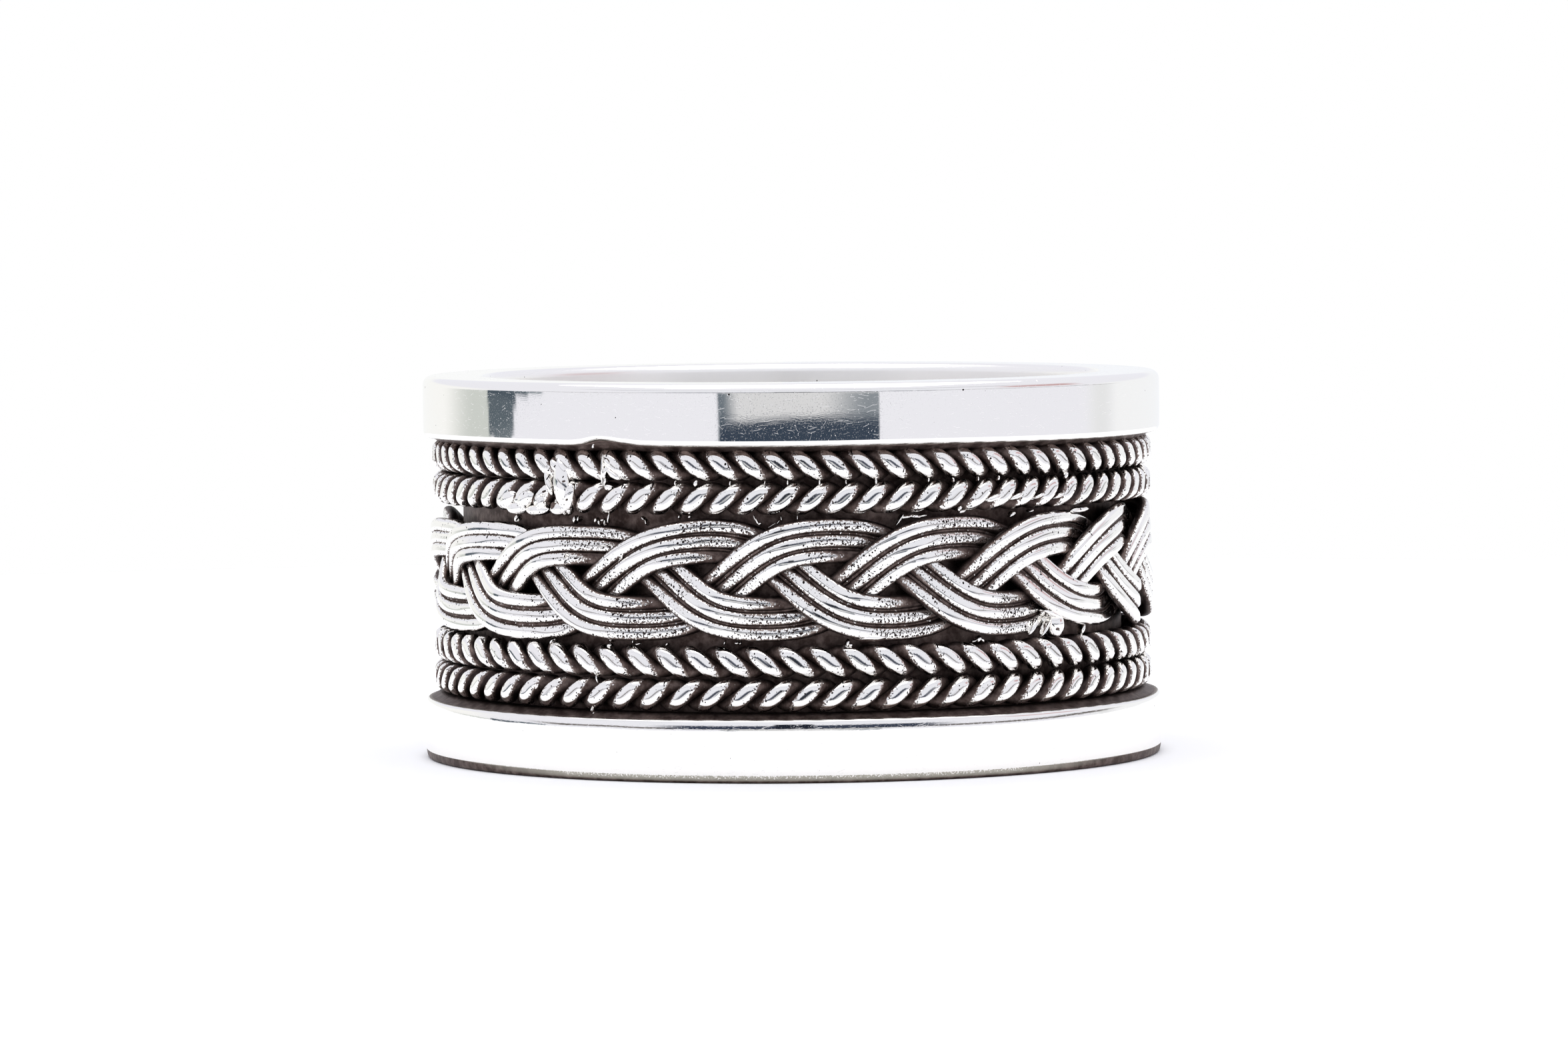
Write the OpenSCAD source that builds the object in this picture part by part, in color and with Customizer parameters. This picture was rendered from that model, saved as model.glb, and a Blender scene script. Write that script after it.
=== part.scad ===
// Wide band ring with a plaited middle between twisted wire ropes.
// Millimetres. The ring lies on its side: Z runs along the finger hole, and z = 0 is the lower rim.
// Angles round the ring are counted from the front, -Y, towards +X.

/* [Band] */
// Radius of the finger hole
finger_r = 9.5; // [9:0.1:10.5]
// Thickness of the metal at the two rims
rim_t = 2; // [1.9:0.05:2.2]
// Thickness of the sleeve at the bottom of the channel
sleeve_t = 0.77; // [0.6:0.01:0.8]
// Height of the whole ring
band_h = 11.9; // [11.9:0.05:12.5]
// Height of each plain rim
rim_h = 1.88; // [1.6:0.02:1.9]
// Rounding of the rims' edges
rim_round = 0.22; // [0.1:0.02:0.4]

/* [Twisted ropes] */
// Thickness of a rope of two twisted wires
rope_d = 0.96; // [0.8:0.02:0.96]
// Distance between the two ropes of a pair
rope_pitch = 1.0; // [1:0.01:1.05]
// Distance of the middle of each pair of ropes from the middle of the plait
pair_offset = 2.94; // [2.9:0.01:2.98]
// Angle of the wires to the ring's axis
rope_lean = 47; // [35:1:55]
// Wire turns seen round the top rope
upper_outer_turns = 81; // [72:1:84]
// Wire turns seen round the second rope
upper_inner_turns = 79; // [72:1:84]
// Wire turns seen round the third rope
lower_inner_turns = 73; // [68:1:84]
// Wire turns seen round the lowest rope
lower_outer_turns = 75; // [68:1:84]

/* [Plait] */
// Height of the middle of the plait
plait_z = 6.02; // [5.9:0.01:6.06]
// Waves that each strand makes round the ring
plait_waves = 6; // [5:1:7]
// Height of a strand's wave, from its middle to its crest
plait_swing = 1.23; // [1:0.01:1.25]
// Wires side by side in one strand
strand_wires = 3; // [2:1:3]
// Distance between the wires of a strand
wire_pitch = 0.486; // [0.42:0.002:0.49]
// Thickness of a wire
wire_d = 0.42; // [0.36:0.01:0.42]
// Rise and fall of a strand as it passes over and under the others
lift = 0.36; // [0.35:0.01:0.37]

/* [Hidden] */

// Finish of the polished metal, and of the blackened metal down in the channel
polished = "silver";
worn = "darkgray";
blackened = "dimgray";

floor_r = finger_r + sleeve_t;
piece_gap = 0.04;

// A rope fills a ring of square section, which its wires are worn down to
rope_in_r = floor_r + piece_gap;
rope_out_r = rope_in_r + rope_d;
rope_mid_r = (rope_in_r + rope_out_r) / 2;
rope_core_r = 0.3;
// A wire turn is a lens: its radius, its thickness, and the radius of its two round faces
turn_r = 0.68;
turn_t = 0.54;
turn_face_r = (pow(turn_r, 2) + pow(turn_t / 2, 2)) / turn_t;

// Place of the first wire turn of each rope, in degrees from the front
upper_outer_start = -2.1;
upper_inner_start = -1.4;
lower_inner_start = 0.4;
lower_outer_start = 1.9;

// A strand's wave has broad crests: a part of its third harmonic is added
crest_share = 0.08;
wave_amplitude = plait_swing / (1 - crest_share);
// A strand stays high, and low, for the whole width of a crossing: a part of the third harmonic again
lift_share = 0.28;
// Its highest and lowest stretches lie at this share of the lift
lift_most = 0.92;
plait_r = floor_r + piece_gap + lift_most * lift + wire_d / 2;
// The wires of a strand rise one after the other: degrees of the wave for each millimetre across
wire_lag = 8.6;
// Where the first strand climbs through the middle of the plait, in degrees from the front
plait_start = -9.6;
strands = 3;
rings_per_wave = 16;
// The wires of a strand meet in valleys of this thickness, and have flat crests of this width
valley_t = 0.16;
crest_w = 0.22;

module rounded_section(r_in, z_low, t, h, r) {
    // Four circles and two squares: the corners stay true arcs
    translate([r_in + r, z_low]) square([t - 2 * r, h]);
    translate([r_in, z_low + r]) square([t, h - 2 * r]);
    for (x = [r, t - r], z = [r, h - r])
        translate([r_in + x, z_low + z]) circle(r, $fn = 48);
}

module rim(z_low) {
    rotate_extrude($fn = 192) rounded_section(finger_r, z_low, rim_t, rim_h, rim_round);
}

module band() {
    color(polished) {
        rim(0);
        rim(band_h - rim_h);
        translate([0, 0, rim_h / 2]) difference() {
            cylinder(r = floor_r, h = band_h - rim_h, $fn = 192);
            translate([0, 0, -1]) cylinder(r = finger_r, h = band_h, $fn = 192);
        }
    }
}

// One turn of a twisted wire: a lens that stands on edge across the rope
module wire_turn(lean) {
    rotate([0, lean, 0]) rotate([0, 90, 0]) rotate_extrude($fn = 64) intersection() {
        translate([0, turn_t / 2 - turn_face_r]) circle(turn_face_r, $fn = 96);
        translate([0, turn_face_r - turn_t / 2]) circle(turn_face_r, $fn = 96);
        translate([0, -turn_t]) square([turn_r + 1, 2 * turn_t]);
    }
}

module rope(z, turns, lean, start) {
    color(worn) {
        intersection() {
            union() {
                for (i = [0 : turns - 1])
                    rotate([0, 0, start + i * 360 / turns])
                        translate([0, -rope_mid_r, z]) wire_turn(lean);
            }
            rotate_extrude($fn = 192) translate([rope_in_r, z - rope_d / 2]) square(rope_d);
        }
        rotate_extrude($fn = 192) translate([rope_mid_r, z]) circle(rope_core_r, $fn = 48);
    }
}

module upper_outer_rope() {
    rope(plait_z + pair_offset + rope_pitch / 2, upper_outer_turns, -rope_lean, upper_outer_start);
}

module upper_inner_rope() {
    rope(plait_z + pair_offset - rope_pitch / 2, upper_inner_turns, rope_lean, upper_inner_start);
}

module lower_inner_rope() {
    rope(plait_z - pair_offset + rope_pitch / 2, lower_inner_turns, -rope_lean, lower_inner_start);
}

module lower_outer_rope() {
    rope(plait_z - pair_offset - rope_pitch / 2, lower_outer_turns, rope_lean, lower_outer_start);
}

// t is the phase of a strand's wave in degrees: 0 where it climbs through the middle, 90 at its crest
function wave_z(t) = wave_amplitude * (sin(t) + crest_share * sin(3 * t));
function wave_slope(t) =
    wave_amplitude * (cos(t) + 3 * crest_share * cos(3 * t)) * plait_waves / plait_r;
// Over the other strands while it climbs above the middle and falls below it, under them elsewhere
function wave_lift(t, across) =
    let (s = t + wire_lag * across * cos(t))
    lift * (sin(2 * s) + lift_share * sin(6 * s));

// A point of a strand: across is measured square to its run, in the surface of the plait
function strand_point(t, angle, across, height) =
    let (
        length = sqrt(1 + pow(wave_slope(t), 2)),
        arc = -across * wave_slope(t) / length,
        a = angle + arc / plait_r * 180 / PI,
        z = plait_z + wave_z(t) + across / length,
        r = plait_r + wave_lift(t, across) + height
    )
    [r * sin(a), -r * cos(a), z];

// Half of a strand's outline, over (side = 1) or under (side = -1) its wires, from one edge to the other
function ridges(side) = [
    for (j = [0 : strand_wires - 1])
        let (middle = (j - (strand_wires - 1) / 2) * wire_pitch)
        each [
            [middle - crest_w / 2, side * wire_d / 2],
            [middle + crest_w / 2, side * wire_d / 2],
            if (j < strand_wires - 1) [middle + wire_pitch / 2, side * valley_t / 2]
        ]
];
function reversed(list) = [for (i = [len(list) - 1 : -1 : 0]) list[i]];
strand_edge = (strand_wires - 1) / 2 * wire_pitch + wire_d / 2;
strand_outline = concat([[-strand_edge, 0]], ridges(1), [[strand_edge, 0]], reversed(ridges(-1)));

// One strand of the plait: its outline swept once round the ring, which closes on itself
module plait_strand(number) {
    rings = rings_per_wave * plait_waves;
    sides = len(strand_outline);
    shift = (number - 1) * 360 / plait_waves / strands;
    points = [
        for (i = [0 : rings - 1], p = strand_outline)
            let (angle = i * 360 / rings)
            strand_point(angle * plait_waves, plait_start + shift + angle, p[0], p[1])
    ];
    faces = [
        for (i = [0 : rings - 1], j = [0 : sides - 1])
            let (
                a = i * sides + j,
                b = i * sides + (j + 1) % sides,
                c = (i + 1) % rings * sides + (j + 1) % sides,
                d = (i + 1) % rings * sides + j
            )
            each [[a, b, c], [a, c, d]]
    ];
    color(blackened) polyhedron(points, faces);
}

module plait_strand_1() { plait_strand(1); }
module plait_strand_2() { plait_strand(2); }
module plait_strand_3() { plait_strand(3); }

band();
upper_outer_rope();
upper_inner_rope();
lower_inner_rope();
lower_outer_rope();
plait_strand_1();
plait_strand_2();
plait_strand_3();
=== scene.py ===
# %% [markdown]
# # A plaited silver band ring
#
# The ring is a smooth sleeve with two plain rims. In the channel between them lie two pairs of twisted
# ropes and a flat plait of three strands. It was soldered up, blackened all over, and then buffed, so the
# high metal is bright and the low metal stayed black. The solids for all of it are already in the frame,
# with the right sizes. This lesson dresses them: it swaps the plain solids for finer ones of the same
# size and place, and it spends most of its care on one finish, silver that is bright where it was buffed.

# %% The frame
import math

import bpy
import numpy as np
from mathutils import Matrix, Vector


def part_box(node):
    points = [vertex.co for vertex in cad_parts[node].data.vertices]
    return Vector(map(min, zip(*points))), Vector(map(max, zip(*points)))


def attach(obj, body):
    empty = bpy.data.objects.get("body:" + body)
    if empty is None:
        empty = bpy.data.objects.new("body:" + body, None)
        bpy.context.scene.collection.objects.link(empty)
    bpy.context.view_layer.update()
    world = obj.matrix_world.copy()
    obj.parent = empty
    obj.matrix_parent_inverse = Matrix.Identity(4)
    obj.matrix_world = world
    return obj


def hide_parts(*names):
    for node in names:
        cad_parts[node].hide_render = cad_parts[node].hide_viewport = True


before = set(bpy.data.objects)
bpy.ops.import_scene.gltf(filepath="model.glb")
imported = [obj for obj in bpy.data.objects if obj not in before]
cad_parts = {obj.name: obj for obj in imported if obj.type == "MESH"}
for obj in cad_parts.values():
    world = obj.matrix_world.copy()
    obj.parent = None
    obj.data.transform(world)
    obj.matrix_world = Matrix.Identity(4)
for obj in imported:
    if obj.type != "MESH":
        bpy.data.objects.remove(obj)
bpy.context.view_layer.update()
print("solids in the frame:", ", ".join(sorted(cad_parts)))

# %% [markdown]
# ## Units, colours and nodes
#
# A ring is thought of in millimetres and degrees, so the meshes are worked out in those and turned to
# metres at the very end. Colours are written as sRGB hex, the way a paint program shows them, and one
# function turns them to the linear values that a shader needs. One more function adds a shader node with
# its settings and links, which keeps each material short enough to read as a recipe.

# %% Units, colours and nodes
MM = 0.001


def linear(hex_colour):
    """Turns an sRGB hex colour to linear red, green, blue and alpha."""
    values = [int(hex_colour[i:i + 2], 16) / 255 for i in (1, 3, 5)]
    return [v / 12.92 if v <= 0.04045 else ((v + 0.055) / 1.055) ** 2.4 for v in values] + [1]


def add(tree, kind, settings=None, **sockets):
    """Adds a shader node. Settings go on the node. Each socket gets a value, or a link from another node's
    first output or from one of its outputs. A socket without a name is called _0, _1 or _2."""
    node = tree.nodes.new("ShaderNode" + kind)
    for name, value in (settings or {}).items():
        setattr(node, name, value)
    for name, value in sockets.items():
        place = int(name[1:]) if name[0] == "_" else name.replace("_", " ")
        if isinstance(value, bpy.types.Node):
            value = value.outputs[0]
        if isinstance(value, bpy.types.NodeSocket):
            tree.links.new(value, node.inputs[place])
        else:
            node.inputs[place].default_value = value
    return node


# %% [markdown]
# ## Sizes from the frame
#
# Nothing here is measured twice. The radii and heights come from the boxes of the solids, so a change to
# the solids carries over. Only what the boxes can't tell, such as how many turns a rope has, is named.

# %% Sizes from the frame
def box_mm(node):
    """The lowest and highest corner of a solid, in millimetres."""
    low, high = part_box(node)
    return np.array(low) / MM, np.array(high) / MM


BAND_HIGH = box_mm("band")[1]
OUTER_R = BAND_HIGH[0]
HEIGHT = BAND_HIGH[2]
# Thickness and height of a rim, and thickness of the sleeve, in millimetres
RIM_T = 2.0
RIM_H = 1.88
SLEEVE_T = 0.77
BORE_R = OUTER_R - RIM_T
FLOOR_R = BORE_R + SLEEVE_T
# The rims' edges are rounded by this much: outside, towards the channel, and at its foot
EDGE_R = 0.27
LIP_R = 0.19
CORNER_R = 0.08
# The band was soldered shut here, in degrees from the front
SEAM = -30.4
print(f"ring: {2 * OUTER_R:.1f} mm across, {HEIGHT:.1f} mm high, hole {2 * BORE_R:.1f} mm")


def polar(radius, angle, height):
    """Points from a radius, an angle in degrees from the front towards +X, and a height."""
    turn = np.radians(angle)
    return np.stack(np.broadcast_arrays(radius * np.sin(turn), -radius * np.cos(turn), height), -1)


def wander(angle, seed, waves=9):
    """A smooth random line round the ring, about -1 to 1, that meets its own start."""
    draw = np.random.default_rng(seed)
    total = np.zeros_like(angle, dtype=float)
    for k in range(2, 2 + waves):
        total += draw.normal() * np.cos(np.radians(k * angle) + draw.uniform(0, 2 * math.pi))
    return total / math.sqrt(waves)


# %% [markdown]
# ## Meshes from grids
#
# Each piece here is a skin: rows of points, one row for each step along it, and one column for each step
# across it. Rows that wrap round give a tube, and tubes that bite their own tail give a ring. Subdivision
# would also make it smooth, but a grid puts points where the light needs them: close together on the side
# that shows, and sparse on the side that never does. Each point also carries its wear: 1 where the buffing
# wheel polished the metal, 0 where it never got to, and below 0 deep in the gaps, where nothing did. In a
# few places the wear is set low to paint shade.

# %% Meshes from grids
class Skin:
    """A grid of points with a wear value each, closed along its rows, its columns, or both."""

    def __init__(self, points, wear, closed_rows=True, closed_columns=True):
        rows, columns = points.shape[:2]
        i, j = np.meshgrid(
            np.arange(rows if closed_rows else rows - 1),
            np.arange(columns if closed_columns else columns - 1),
            indexing="ij",
        )
        near, far = i * columns, (i + 1) % rows * columns
        after = (j + 1) % columns
        quads = np.stack([near + j, near + after, far + after, far + j], -1).reshape(-1, 4)
        self.points = points.reshape(-1, 3)
        self.wear = np.broadcast_to(wear, points.shape[:2]).reshape(-1)
        corner = [self.points[quads[:, k]] for k in range(4)]
        volume = np.einsum("ij,ij->i", corner[0], np.cross(corner[1] - corner[3], corner[2]))
        self.faces = quads if volume.sum() > 0 else quads[:, ::-1]


def put(name, data):
    """Puts a mesh, a lamp or a camera into the scene as an object."""
    thing = bpy.data.objects.new(name, data)
    bpy.context.scene.collection.objects.link(thing)
    return thing


def make_piece(name, skins, material):
    """Joins skins into one smooth object that rides on the ring's body."""
    starts = np.cumsum([0] + [len(s.points) for s in skins])
    mesh = bpy.data.meshes.new(name)
    mesh.from_pydata(
        (np.concatenate([s.points for s in skins]) * MM).tolist(),
        [],
        np.concatenate([s.faces + start for s, start in zip(skins, starts)]).tolist(),
    )
    layer = mesh.attributes.new("wear", "FLOAT", "POINT")
    layer.data.foreach_set("value", np.concatenate([s.wear for s in skins]).astype(np.float32))
    mesh.shade_smooth()
    mesh.materials.append(material)
    piece = put(name, mesh)
    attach(piece, "root")
    print(f"{name}: {2 * len(mesh.polygons)} triangles")
    return piece


def unit(vectors):
    """Brings vectors to a length of 1."""
    return vectors / np.linalg.norm(vectors, axis=-1, keepdims=True)


def tube(path, away, section):
    """Sweeps a section along a closed path. Of its two measures, the first goes to the side, and the second
    points away."""
    ahead = unit(np.roll(path, -1, 0) - np.roll(path, 1, 0))
    up = unit(away - np.sum(away * ahead, -1, keepdims=True) * ahead)
    side = np.cross(up, ahead)
    return path[:, None] + section[..., :1] * side[:, None] + section[..., 1:] * up[:, None]


# %% [markdown]
# ## The camera and the table
#
# The photographer stood close, with a long lens a little above the ring, so its top and bottom edges stay
# almost level. The table is a round sheet of white card. A plane without end would do for most things, but
# a mirror shows what stands round it: the upper rim sees past the edge of this small card and has the greys
# of the room, while the lower rim sees only card and is white.

# %% The camera and the table
CAMERA_AT = (-0.25, -219.7, 18.51)
CAMERA_PITCH = 87.05
CAMERA_ROLL = -0.51
CAMERA_LENS = 161.34
CARD_R = 105.0
# The card lies this far below the rim, because two faces in one plane would flicker
CARD_DROP = 0.004
# Bumps in a millimetre of card, and how high they stand in millimetres
TOOTH_PER_MM = 0.9
TOOTH_H = 0.02

lens = bpy.data.cameras.new("camera")
lens.lens = CAMERA_LENS
lens.sensor_width = 36
lens.clip_start = 10 * MM
lens.clip_end = 10
camera = put("camera", lens)
camera.matrix_world = (
    Matrix.Translation([v * MM for v in CAMERA_AT])
    @ Matrix.Rotation(math.radians(CAMERA_PITCH), 4, "X")
    @ Matrix.Rotation(math.radians(CAMERA_ROLL), 4, "Z")
)
bpy.context.scene.camera = camera


def empty_tree(owner):
    """The node tree of a material or of the world, with nothing in it yet."""
    owner.use_nodes = True
    owner.node_tree.nodes.clear()
    return owner.node_tree


def card_material():
    """White card: matte and bright, with a faint tooth."""
    material = bpy.data.materials.new("white_card")
    tree = empty_tree(material)
    place = add(tree, "TexCoord").outputs["Object"]
    tooth = add(tree, "TexNoise", Scale=TOOTH_PER_MM / MM, Detail=3.0, Vector=place)
    bump = add(tree, "Bump", Strength=0.1, Distance=TOOTH_H * MM, Height=tooth)
    paper = add(tree, "BsdfPrincipled", Base_Color=linear("#f6f6f6"), Roughness=0.9, IOR=1.5, Normal=bump)
    add(tree, "OutputMaterial", Surface=paper)
    return material


card_mesh = bpy.data.meshes.new("card")
card_edge = polar(CARD_R, np.arange(0, 360, 3.0), -CARD_DROP) * MM
card_mesh.from_pydata(card_edge.tolist(), [], [list(range(len(card_edge)))])
card_mesh.materials.append(card_material())
card = put("card", card_mesh)
print(f"card: {2 * CARD_R:.0f} mm across")

# %% [markdown]
# ## The light
#
# Polished silver has no colour of its own to speak of: it shows the studio. Softboxes and cards could be
# modelled one by one, but they would get in the way of the other views. So the studio is drawn in the world
# as a small map of what stands in each direction, in degrees round from the camera's side and up from
# level. Most of it is a pale tent. In front there is a grey panel with a dark gap below it, and the dark
# opening that the camera looks through, which is the thin dark line in every wire. A big soft lamp hangs
# above. The camera itself sees plain white behind the ring.

# %% The light
TENT = "#eeeff8"
# What stands in each direction. A later row covers an earlier one. Columns: name, place round the ring,
# place above level, colour. A place is a start, an end, and how soft these two edges are, all in degrees.
PANELS = [
    ("seam of the tent", (-70, 80, 30, 30), (29, 31, 1, 1), "#9fa0a8"),
    ("left wall", (-185, -112, 8, 30), (-6, 12, 2, 6), "#fafbfb"),
    ("right wall", (112, 185, 26, 8), (-6, 12, 2, 6), "#f6f8fc"),
    ("shade at the right", (107, 118, 10, 10), (-6, 1, 2, 2), "#e8eaee"),
    ("grey panel", (-22, 27, 0.5, 0.5), (-10, 2, 1, 3), "#dadbdf"),
    ("panel's dark end", (16, 27, 16, 0.5), (-10, 0, 1, 1), "#8b929a"),
    ("panel's dark start", (-22.5, -18.5, 1, 6), (-10, 0, 1, 1), "#6c7680"),
    ("dark gap under the panel", (-22, 27, 0.5, 0.5), (-12, -2.25, 1, 0.12), "#394454"),
    ("tent above the camera", (-50, 54, 24, 24), (4, 29, 4, 8), "#ebedf6"),
    ("shade at the left", (-128, -107, 24, 1), (-4.4, -0.3, 1, 0.5), "#cdd2cf"),
    ("dark gap at the left", (-108.8, -94.6, 1, 1.5), (-1.9, 0.2, 0.6, 0.3), "#4a5661"),
    ("middle of the left gap", (-108, -96, 1, 1.5), (-3, -1.6, 0.6, 0.6), "#5a656e"),
    ("foot of the left gap", (-105.5, -97, 1.5, 1.5), (-3.7, -2.7, 0.4, 0.6), "#727c83"),
    ("tail of the left gap", (-95.5, -89, 1, 1.5), (-1.15, 0.2, 0.2, 0.2), "#59656f"),
    ("end of the left tail", (-90, -83, 1, 2), (-0.8, 0.2, 0.12, 0.2), "#7d878f"),
    ("warm wall at the right", (72, 102, 12, 12), (12, 25, 8, 8), "#cbacaf"),
    ("gap under the tent", (-85, 118, 20, 20), (1.0, 2.6, 0.6, 0.8), "#6e6a68"),
    ("slot for the camera", (-40, 46, 16, 16), (1.3, 4.9, 0.6, 0.8), "#3a4152"),
    ("the lens", (-6, 6, 2, 2), (1.6, 7, 0.6, 1.5), "#1f2430"),
]
# The lamp's side and height in metres, and how bright its face is, where 1 is the white of the picture
LAMP_SIDE = 0.7
LAMP_HEIGHT = 0.6
LAMP_RADIANCE = 1.65


def from_front(tree, vector):
    """A vector's x, y and z, and its angle in radians, from the front towards +X."""
    x, y, z = add(tree, "SeparateXYZ", Vector=vector).outputs
    front = add(tree, "Math", {"operation": "MULTIPLY"}, _0=y, _1=-1.0)
    return x, y, z, add(tree, "Math", {"operation": "ARCTAN2"}, _0=x, _1=front)


def draw_studio():
    """Fills the world with the tent and its panels, and with plain white for the camera."""
    bpy.context.scene.world = bpy.data.worlds.new("studio")
    tree = empty_tree(bpy.context.scene.world)
    z, turn = from_front(tree, add(tree, "TexCoord").outputs["Generated"])[2:]
    round_deg = add(tree, "Math", {"operation": "DEGREES"}, _0=turn)
    rise = add(tree, "Math", {"operation": "ARCSINE"}, _0=z)
    up_deg = add(tree, "Math", {"operation": "DEGREES"}, _0=rise)
    colour = add(tree, "RGB").outputs[0]
    colour.default_value = linear(TENT)
    for name, across, upright, shade in PANELS:
        steps = []
        for value, (low, high, soft_low, soft_high) in ((round_deg, across), (up_deg, upright)):
            for edge, soft, sign in ((low, soft_low, 1), (high, soft_high, -1)):
                steps.append(add(
                    tree, "MapRange", {"interpolation_type": "SMOOTHSTEP"},
                    Value=value, From_Min=edge - sign * soft / 2, From_Max=edge + sign * soft / 2,
                ))
        mask = steps[0]
        for step in steps[1:]:
            mask = add(tree, "Math", {"operation": "MULTIPLY"}, _0=mask, _1=step)
        colour = add(tree, "MixRGB", {"label": name}, Fac=mask, Color1=colour, Color2=linear(shade))
    seen = add(tree, "LightPath").outputs["Is Camera Ray"]
    shown = add(tree, "MixRGB", Fac=seen, Color1=colour, Color2=[1, 1, 1, 1])
    light = add(tree, "Background", Color=shown, Strength=1.0)
    add(tree, "OutputWorld", Surface=light)


draw_studio()
lamp_data = bpy.data.lights.new("overhead_lamp", "AREA")
lamp_data.size = LAMP_SIDE
lamp_data.energy = LAMP_RADIANCE * math.pi * LAMP_SIDE ** 2
lamp = put("overhead_lamp", lamp_data)
lamp.location = (0, 0, LAMP_HEIGHT)
bpy.context.scene.view_settings.view_transform = "Standard"
print(f"studio: {len(PANELS)} panels and one lamp of {lamp_data.energy:.1f} W")

# %% [markdown]
# ## Silver that was blackened and buffed
#
# Sterling silver is 92.5% silver, a nearly white metal that reflects about 95% of the light. Liver of
# sulphur turns its skin to silver sulphide, a thin film that is matt and brown-black. A soft wheel then
# takes the black off whatever stands proud. The border between the two is never a clean line: the wheel
# skips over pits, so bright metal near it is peppered with black, and black metal with bright specks.
# Geometry's Pointiness could find the high metal, but it changes whenever the mesh does. So the material
# asks each point for its wear, shakes that number with fine noise, and lays down silver where the result is
# high and sulphide where it is low.

# %% Silver that was blackened and buffed
SILVER = "#fbf9f5"
SULPHIDE = "#483b37"
SULPHIDE_PALE = "#83746e"
PACKED_SULPHIDE_AND_SHADE = "#231d1e"
# Radius of the largest pits, and the grain of the sulphide, in millimetres. Real ones are finer still, and
# are drawn as coarse as they need to show.
PIT_R = 0.0352
GRAIN = 0.3


def unroll(tree, place):
    """The distance from the ring's axis, and the surface unrolled flat: millimetres round the ring and
    across its skin."""
    x, y, z, turn = from_front(tree, place)
    arc = add(tree, "Math", {"operation": "MULTIPLY"}, _0=turn, _1=float(OUTER_R))
    plan = add(tree, "CombineXYZ", X=x, Y=y)
    from_axis = add(tree, "VectorMath", {"operation": "LENGTH"}, _0=plan).outputs["Value"]
    across = add(tree, "Math", {"operation": "ADD"}, _0=z, _1=from_axis)
    return from_axis, add(tree, "CombineXYZ", X=arc, Y=across)


def bright_metal(tree, place, sheet, wear, shake, speck, pit_gap):
    """1 where the silver is bright, and 0 where it is black."""
    # Specks: the wear is shaken by noise as fine as the pits in the metal
    specks = add(tree, "TexNoise", Vector=place, Scale=1 / speck, Detail=1.0, Roughness=0.5)
    shaken = add(tree, "Math", {"operation": "MULTIPLY_ADD"}, _0=specks, _1=shake, _2=wear)
    border = 0.5 + shake / 2
    bright = add(
        tree, "MapRange", {"interpolation_type": "SMOOTHSTEP"},
        Value=shaken, From_Min=border - 0.05, From_Max=border + 0.05,
    )
    # Pits: small black dots in the bright metal, of uneven size, and more of them where it is worn less
    cells = add(tree, "TexVoronoi", {"voronoi_dimensions": "2D"}, Vector=sheet, Scale=1 / pit_gap)
    chance = add(tree, "SeparateXYZ", Vector=cells.outputs["Color"])
    risk = add(tree, "Math", {"operation": "MULTIPLY_ADD"}, _0=wear, _1=-0.5, _2=chance)
    size = add(tree, "MapRange", Value=risk, From_Min=0.26, From_Max=0.6, To_Max=PIT_R / pit_gap)
    pit = add(tree, "Math", {"operation": "LESS_THAN"}, _0=cells, _1=size)
    return add(tree, "Math", {"operation": "SUBTRACT", "use_clamp": True}, _0=bright, _1=pit)


def film_colour(tree, grain, wear, thin_film):
    """The colour of the blackened metal, which is mottled like its grain."""
    mottle = add(tree, "MapRange", Value=grain, From_Min=0.4, From_Max=0.75)
    black = add(tree, "MixRGB", Fac=mottle, Color1=linear(SULPHIDE), Color2=linear(SULPHIDE_PALE))
    # Where the wheel has nearly got through, the film is thin and brownish grey. On the band's lower bevel
    # this grey is painted shade
    nearly = add(tree, "MapRange", Value=wear, From_Min=0.22, From_Max=0.48, To_Max=0.8)
    through = add(tree, "MapRange", Value=wear, From_Min=0.5, From_Max=0.6, To_Max=0.8)
    thin = add(tree, "Math", {"operation": "SUBTRACT"}, _0=nearly, _1=through)
    faded = add(tree, "MixRGB", Fac=thin, Color1=black, Color2=linear(thin_film))
    # What stays in the pits of buffed metal is thick and black
    packed = add(tree, "MapRange", Value=wear, From_Min=0.5, From_Max=0.62)
    filled = add(tree, "MixRGB", Fac=packed, Color1=faded, Color2=linear(PACKED_SULPHIDE_AND_SHADE))
    # So is what no hand or cloth ever reached. The same black is painted shade under the lower ropes, and
    # between the ropes' turns on the sides of the ring
    buried_and_painted_shade = add(tree, "MapRange", Value=wear, From_Min=0.0, From_Max=-0.3, To_Max=0.85)
    return add(tree, "MixRGB", Fac=buried_and_painted_shade, Color1=filled, Color2=linear(PACKED_SULPHIDE_AND_SHADE))


# %% [markdown]
# ## Gloss and scratches
#
# A mirror finish is never perfect. The finger hole was left satin, because a wheel doesn't fit in well. The
# outside has dull spots that only its dark reflections show, nicks, and hairline scratches along a few
# directions. An image of scratches would repeat and would need a flat layout of the mesh. Noise that is
# drawn out along one direction, and kept only where it peaks, gives single scratches that never repeat.

# %% Gloss and scratches
# Roughness inside the finger hole, and of the sulphide
SATIN = 0.3
MATT = 0.52
# Sizes in millimetres: the dull spots, the distance between nicks, and a scratch, which is drawn wider than
# a real one so that it shows
SPOT = 0.05
NICK_GAP = 0.1
SCRATCH_W = 0.022
SCRATCH_L = 0.5
# The brushed grain's length and width, and how much of it shows. Then how far all marks are bent, and how
# often in a millimetre.
BRUSHED_L = 1.5
BRUSHED_W = 0.03
BRUSHED_SHARE = 0.2
BEND = 0.6
BENDS_PER_MM = 0.7
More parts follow.
